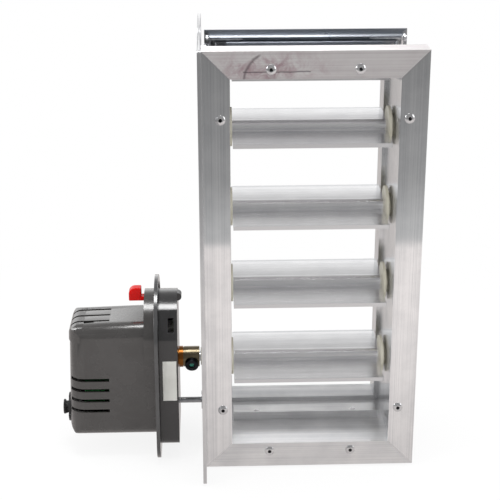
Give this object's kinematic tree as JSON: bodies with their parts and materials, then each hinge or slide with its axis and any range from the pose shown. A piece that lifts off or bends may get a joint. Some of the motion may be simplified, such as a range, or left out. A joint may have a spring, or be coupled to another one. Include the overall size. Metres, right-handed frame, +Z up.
{
  "type": "motorized duct damper",
  "caption": "Rectangular duct damper: a mitred aluminium frame with parallel blades linked in the jamb and turned by a side-mounted electric actuator on a mounting plate.",
  "frame": {"origin": "centre of the duct screw pattern, on the inner face of the mounting plate, which is the side of the damper frame with the actuator", "axes": "+X along the blades from the mounting plate into the duct, +Y along the airflow from the face frame to the rear rim, +Z up"},
  "size_m": [0.337, 0.186, 0.4093],
  "materials": {
    "mill_aluminium": "mill-finish extruded aluminium with fine draw lines",
    "plate_aluminium": "mill-finish aluminium sheet",
    "rivet_aluminium": "bright blind rivet",
    "zinc_steel": "zinc-plated steel",
    "bright_steel": "drawn steel bar",
    "black_steel": "black-oxide socket screw",
    "yellow_zinc": "yellow zinc plate on steel",
    "dark_plastic": "satin dark grey moulded plastic",
    "red_plastic": "red moulded plastic",
    "ivory_nylon": "ivory nylon",
    "white_plastic": "white acetal",
    "grey_rubber": "dark grey rubber",
    "motor_can": "drawn steel can",
    "board_green": "green circuit board",
    "block_green": "green terminal block",
    "label_paper": "bare pale label"
  },
  "bodies": {
    "frame": {"top_channel": "mill_aluminium", "bottom_channel": "mill_aluminium", "left_jamb": "mill_aluminium", "right_jamb": "mill_aluminium", "face_angle_top": "mill_aluminium", "face_angle_bottom": "mill_aluminium", "face_angle_left": "mill_aluminium", "face_angle_right": "mill_aluminium", "face_rivets": "rivet_aluminium", "corner_screws": "zinc_steel", "mounting_plate": "plate_aluminium", "plate_packer": "plate_aluminium", "plate_screws": "zinc_steel", "top_stop": "mill_aluminium", "bottom_stop": "mill_aluminium", "stop_rivets": "rivet_aluminium", "jamb_bushings": "ivory_nylon", "shaft_bearing": "ivory_nylon", "actuator_base": "dark_plastic", "hoop_plate": "dark_plastic", "actuator_cover": "dark_plastic", "cover_screws": "zinc_steel", "gear_arbors": "bright_steel", "motor": "motor_can", "motor_plate": "zinc_steel", "circuit_board": "board_green", "terminal_block": "block_green", "wire_entry": "grey_rubber", "label": "label_paper", "anti_rotation_pin": "zinc_steel", "pin_nut": "zinc_steel"},
    "drive": {"blade_4": "mill_aluminium", "end_discs_4": "ivory_nylon", "axle_stub_4": "bright_steel", "drive_shaft": "bright_steel", "crank_4": "zinc_steel", "drive_hub": "yellow_zinc", "hub_set_screw": "black_steel", "output_gear": "white_plastic"},
    "upper_blade": {"blade_1": "mill_aluminium", "end_discs_1": "ivory_nylon", "axle_stubs_1": "bright_steel", "crank_1": "zinc_steel"},
    "second_blade": {"blade_2": "mill_aluminium", "end_discs_2": "ivory_nylon", "axle_stubs_2": "bright_steel", "crank_2": "zinc_steel"},
    "third_blade": {"blade_3": "mill_aluminium", "end_discs_3": "ivory_nylon", "axle_stubs_3": "bright_steel", "crank_3": "zinc_steel"},
    "link": {"tie_bar": "zinc_steel", "link_pins": "zinc_steel"},
    "wheel_a": {"gear_wheel_a": "white_plastic"},
    "wheel_b": {"gear_wheel_b": "white_plastic"},
    "pinion": {"motor_pinion": "bright_steel"},
    "lever": {"manual_lever": "red_plastic"}
  },
  "joints": [
    {"name": "drive_turn", "type": "hinge", "parent": "frame", "child": "drive", "pos_m": [0, 0, -0.1133], "axis": [1, 0, 0], "range_deg": [-13, 77]},
    {"name": "upper_blade_turn", "type": "hinge", "parent": "frame", "child": "upper_blade", "pos_m": [0, 0, 0.1168], "axis": [1, 0, 0], "range_deg": [-13.5, 77.5]},
    {"name": "second_blade_turn", "type": "hinge", "parent": "frame", "child": "second_blade", "pos_m": [0, 0, 0.0401], "axis": [1, 0, 0], "range_deg": [-13.5, 77.5]},
    {"name": "third_blade_turn", "type": "hinge", "parent": "frame", "child": "third_blade", "pos_m": [0, 0, -0.0366], "axis": [1, 0, 0], "range_deg": [-13.5, 77.5]},
    {"name": "link_turn", "type": "hinge", "parent": "drive", "child": "link", "pos_m": [0, 0.01802, -0.12592], "axis": [1, 0, 0], "range_deg": [-77.5, 13.5]},
    {"name": "wheel_a_turn", "type": "hinge", "parent": "frame", "child": "wheel_a", "pos_m": [0, 0, -0.0809], "axis": [1, 0, 0], "range_deg": [-386, 66]},
    {"name": "wheel_b_turn", "type": "hinge", "parent": "frame", "child": "wheel_b", "pos_m": [0, 0.01301, -0.10456], "axis": [1, 0, 0], "range_deg": [-262, 1542]},
    {"name": "pinion_turn", "type": "hinge", "parent": "frame", "child": "pinion", "pos_m": [0, -0.0068, -0.10456], "axis": [1, 0, 0], "range_deg": [-4110, 696]},
    {"name": "lever_swing", "type": "hinge", "parent": "frame", "child": "lever", "pos_m": [0, 0, -0.0833], "axis": [1, 0, 0], "range_deg": [-32, 0]}
  ],
  "couplings": [
    {"joint": "upper_blade_turn", "follows": "drive_turn", "ratio": 1},
    {"joint": "second_blade_turn", "follows": "drive_turn", "ratio": 1},
    {"joint": "third_blade_turn", "follows": "drive_turn", "ratio": 1},
    {"joint": "link_turn", "follows": "drive_turn", "ratio": -1},
    {"joint": "wheel_a_turn", "follows": "drive_turn", "ratio": -5},
    {"joint": "wheel_b_turn", "follows": "drive_turn", "ratio": 20},
    {"joint": "pinion_turn", "follows": "drive_turn", "ratio": -53.333}
  ]
}
